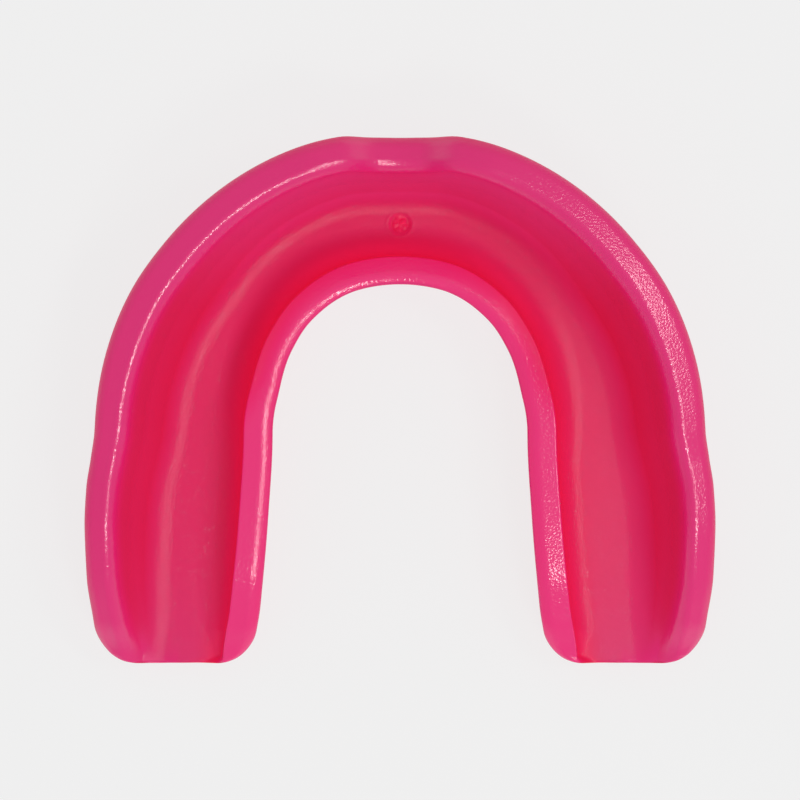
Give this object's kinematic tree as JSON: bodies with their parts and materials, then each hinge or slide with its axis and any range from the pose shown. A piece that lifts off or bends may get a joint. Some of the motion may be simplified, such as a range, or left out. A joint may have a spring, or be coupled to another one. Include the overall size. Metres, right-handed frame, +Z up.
{
  "type": "boil-and-bite mouthguard",
  "caption": "U-shaped upper mouthguard: a flexible outer shell with a tall lip-side wall and a low palate-side wall, and a fitting liner in its tooth channel.",
  "frame": {"origin": "on the flat underside, at the middle of the outline", "axes": "+Z up out of the tooth channel, -Y towards the lips, +Y towards the arm ends, X across the mouth"},
  "size_m": [0.0682, 0.0571, 0.018],
  "materials": {
    "shell_eva": "soft translucent pink EVA with a fine spark-eroded mould grain and a low sheen",
    "liner_eva": "softer translucent pink EVA, a little deeper in colour, with the same fine grain"
  },
  "bodies": {
    "root": {"outer_shell": "shell_eva", "fitting_liner": "liner_eva"}
  },
  "joints": []
}
